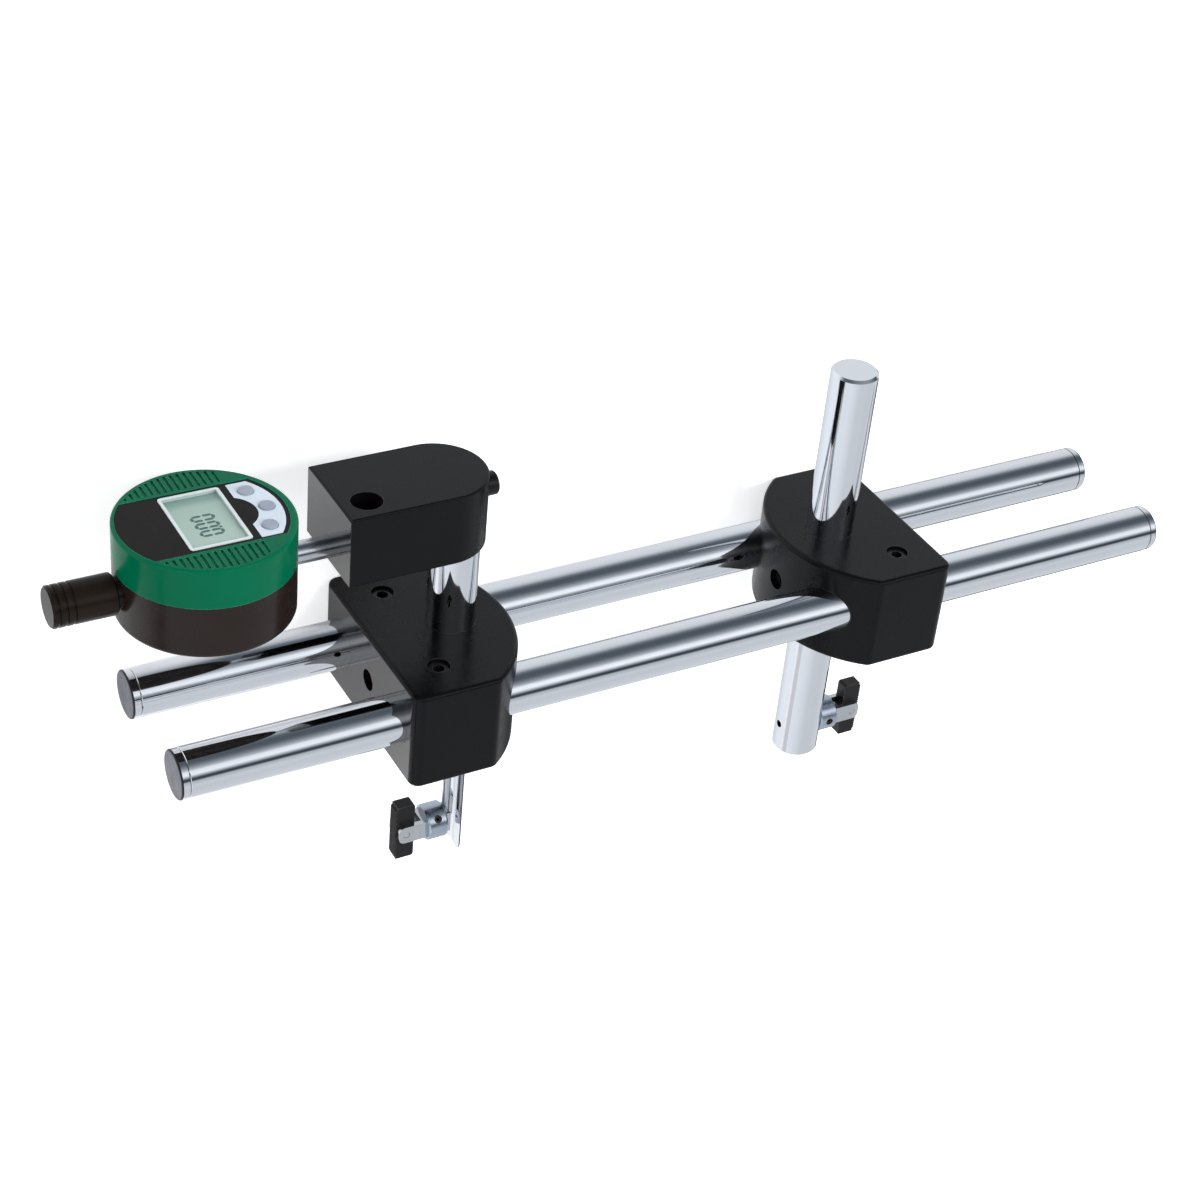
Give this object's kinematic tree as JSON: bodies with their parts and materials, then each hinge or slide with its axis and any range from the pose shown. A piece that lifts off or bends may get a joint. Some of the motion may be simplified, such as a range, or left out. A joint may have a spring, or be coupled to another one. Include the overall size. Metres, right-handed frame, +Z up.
{
  "type": "digital internal thread gauge",
  "caption": "Twin-rail gauge for internal threads: sliding blocks, upright posts, rocking thread shoes and a lever that drives a digital indicator.",
  "frame": {"origin": "centre of the bounding box's footprint, on the surface that the gauge lies on", "axes": "+X along the rails, from the indicator's end to the free end; +Y along the posts, from the shoes to the indicator; +Z up, out of the side that faced the viewer"},
  "size_m": [0.4436, 0.1746, 0.078],
  "materials": {
    "chromed_steel": "mirror-bright hard chrome plating",
    "bright_steel": "bright turned steel",
    "black_block": "satin black coating on steel",
    "black_oxide": "black oxide, slightly oily",
    "black_plastic": "fine moulded texture",
    "dark_plug": "dark grey moulded plastic",
    "green_housing": "satin green moulding",
    "black_face": "smooth black face sheet",
    "silver_panel": "silver printed sheet",
    "light_button": "light grey keys",
    "pale_frame": "pale moulded frame",
    "clear_window": "clear window",
    "lcd": "grey-green liquid crystal cell",
    "circuit": "green circuit laminate",
    "cell_steel": "pressed steel can",
    "brass_tip": "brass set screw",
    "carbide": "ground hard tip"
  },
  "bodies": {
    "rail_frame": {"rail_front": "chromed_steel", "rail_back": "chromed_steel", "rail_plug_front_left": "dark_plug", "rail_plug_front_right": "dark_plug", "rail_plug_back_left": "dark_plug", "rail_plug_back_right": "dark_plug"},
    "left_carriage": {"left_block": "black_block", "left_rail_lock_screw_front": "black_oxide", "left_rail_lock_screw_back": "black_oxide", "left_post_lock_screw_inner": "black_oxide", "left_post_lock_screw_outer": "brass_tip"},
    "right_carriage": {"right_block": "black_block", "right_rail_lock_screw_front": "black_oxide", "right_rail_lock_screw_back": "black_oxide", "right_post_lock_screw_inner": "black_oxide", "right_post_lock_screw_outer": "brass_tip"},
    "left_post_unit": {"left_post": "chromed_steel", "lever_pin": "bright_steel", "head_block": "black_block", "head_lock_screw": "black_oxide", "stem_cotter": "black_oxide", "stem_lock_screw": "black_oxide", "indicator_case": "black_plastic", "indicator_back_cover": "black_plastic", "back_cover_screws": "black_oxide", "circuit_board": "circuit", "battery": "cell_steel", "indicator_stem": "bright_steel", "dust_cap": "black_plastic"},
    "lever_unit": {"lever": "bright_steel", "left_shoe_collar": "bright_steel", "left_collar_screw": "black_oxide", "left_shoe_fork": "bright_steel", "left_shoe_pin": "bright_steel"},
    "left_shoe_bar": {"left_shoe": "black_oxide"},
    "plunger": {"spindle": "bright_steel", "scale_strip": "carbide", "spindle_spring": "bright_steel", "contact_tip": "carbide"},
    "indicator_front": {"front_housing": "green_housing", "face_plate": "black_face", "display_frame": "pale_frame", "display_window": "clear_window", "lcd_panel": "lcd", "button_panel": "silver_panel"},
    "key_left": {"button_left": "light_button"},
    "key_middle": {"button_middle": "light_button"},
    "key_right": {"button_right": "light_button"},
    "right_post_unit": {"right_post": "chromed_steel", "fork_screw": "black_oxide", "right_shoe_collar": "bright_steel", "right_collar_screw": "black_oxide", "right_shoe_fork": "bright_steel", "right_shoe_pin": "bright_steel"},
    "right_shoe_bar": {"right_shoe": "black_oxide"}
  },
  "joints": [
    {"name": "left_carriage_slide", "type": "slide", "parent": "rail_frame", "child": "left_carriage", "axis": [1, 0, 0], "range_m": [-0.07, 0.05]},
    {"name": "right_carriage_slide", "type": "slide", "parent": "rail_frame", "child": "right_carriage", "axis": [1, 0, 0], "range_m": [-0.05, 0.1]},
    {"name": "left_post_slide", "type": "slide", "parent": "left_carriage", "child": "left_post_unit", "axis": [0, 1, 0], "range_m": [-0.034, 0.038]},
    {"name": "right_post_slide", "type": "slide", "parent": "right_carriage", "child": "right_post_unit", "axis": [0, 1, 0], "range_m": [-0.06, 0.038]},
    {"name": "lever_pivot", "type": "hinge", "parent": "left_post_unit", "child": "lever_unit", "pos_m": [-0.07725, -0.0071, 0.039], "axis": [0, 0, 1], "range_deg": [-1, 1], "stiffness_Nm_per_rad": 4.5},
    {"name": "plunger_slide", "type": "slide", "parent": "left_post_unit", "child": "plunger", "axis": [1, 0, 0], "range_m": [-0.0012, 0.0012]},
    {"name": "left_shoe_rock", "type": "hinge", "parent": "lever_unit", "child": "left_shoe_bar", "pos_m": [-0.09205, -0.07475, 0.039], "axis": [0, 0, 1], "range_deg": [-8, 8]},
    {"name": "right_shoe_rock", "type": "hinge", "parent": "right_post_unit", "child": "right_shoe_bar", "pos_m": [0.10615, -0.07475, 0.039], "axis": [0, 0, 1], "range_deg": [-8, 8]},
    {"name": "display_swivel", "type": "hinge", "parent": "left_post_unit", "child": "indicator_front", "pos_m": [-0.16845, 0.06745, 0.039], "axis": [0, 1, 0], "range_deg": [-135, 135]},
    {"name": "key_left_press", "type": "slide", "parent": "indicator_front", "child": "key_left", "axis": [0, -1, 0], "range_m": [0, 0.0006], "stiffness_N_per_m": 600, "springref_m": -0.001},
    {"name": "key_middle_press", "type": "slide", "parent": "indicator_front", "child": "key_middle", "axis": [0, -1, 0], "range_m": [0, 0.0006], "stiffness_N_per_m": 600, "springref_m": -0.001},
    {"name": "key_right_press", "type": "slide", "parent": "indicator_front", "child": "key_right", "axis": [0, -1, 0], "range_m": [0, 0.0006], "stiffness_N_per_m": 600, "springref_m": -0.001}
  ],
  "couplings": [
    {"joint": "plunger_slide", "follows": "lever_pivot", "m_per_rad": -0.06765}
  ]
}
